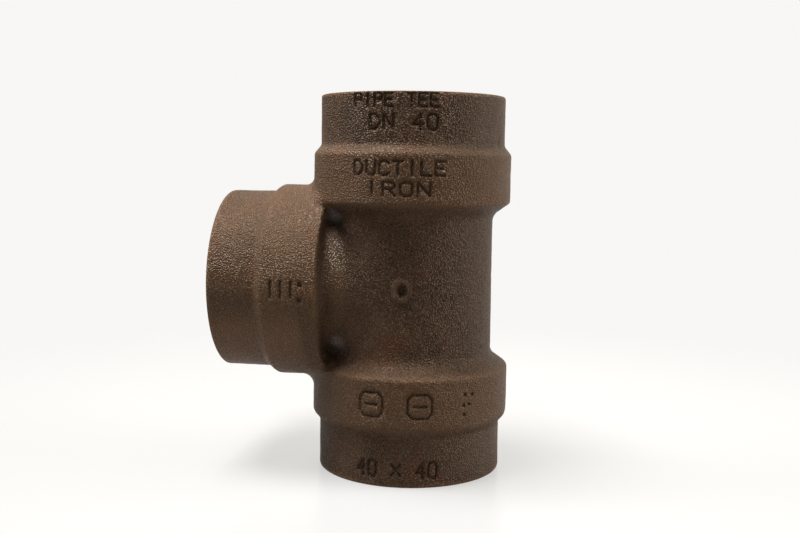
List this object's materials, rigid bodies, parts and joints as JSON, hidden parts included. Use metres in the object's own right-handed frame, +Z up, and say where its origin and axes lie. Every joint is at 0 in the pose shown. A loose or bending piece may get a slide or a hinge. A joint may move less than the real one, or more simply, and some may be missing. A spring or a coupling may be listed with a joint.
{
  "type": "push-on pipe tee fitting",
  "caption": "Cast iron tee that joins plain-end steel pipes: each socket takes a pipe, seals it with a ring gasket and holds it with a lock bolt.",
  "frame": {"origin": "centre of the lower socket's mouth, where the fitting stands on its rim", "axes": "+Z up along the run, the branch points along -X, and the lock bolts stand out along +Y"},
  "size_m": [0.0971, 0.0855, 0.127],
  "materials": {
    "casting": "sand-cast, brown oxide",
    "rubber": "moulded, satin",
    "bolt_steel": "zinc plated"
  },
  "bodies": {
    "fitting": {"tee_body": "casting", "gasket_run_lower": "rubber", "gasket_run_upper": "rubber", "gasket_branch": "rubber"},
    "bolt_run_lower": {"lock_bolt_run_lower": "bolt_steel"},
    "bolt_run_upper": {"lock_bolt_run_upper": "bolt_steel"},
    "bolt_branch": {"lock_bolt_branch": "bolt_steel"}
  },
  "joints": [
    {"name": "lock_bolt_run_lower_travel", "type": "slide", "parent": "fitting", "child": "bolt_run_lower", "axis": [0, -1, 0], "range_m": [-0.008, 0.005]},
    {"name": "lock_bolt_run_upper_travel", "type": "slide", "parent": "fitting", "child": "bolt_run_upper", "axis": [0, -1, 0], "range_m": [-0.008, 0.005]},
    {"name": "lock_bolt_branch_travel", "type": "slide", "parent": "fitting", "child": "bolt_branch", "axis": [0, -1, 0], "range_m": [-0.008, 0.005]}
  ]
}
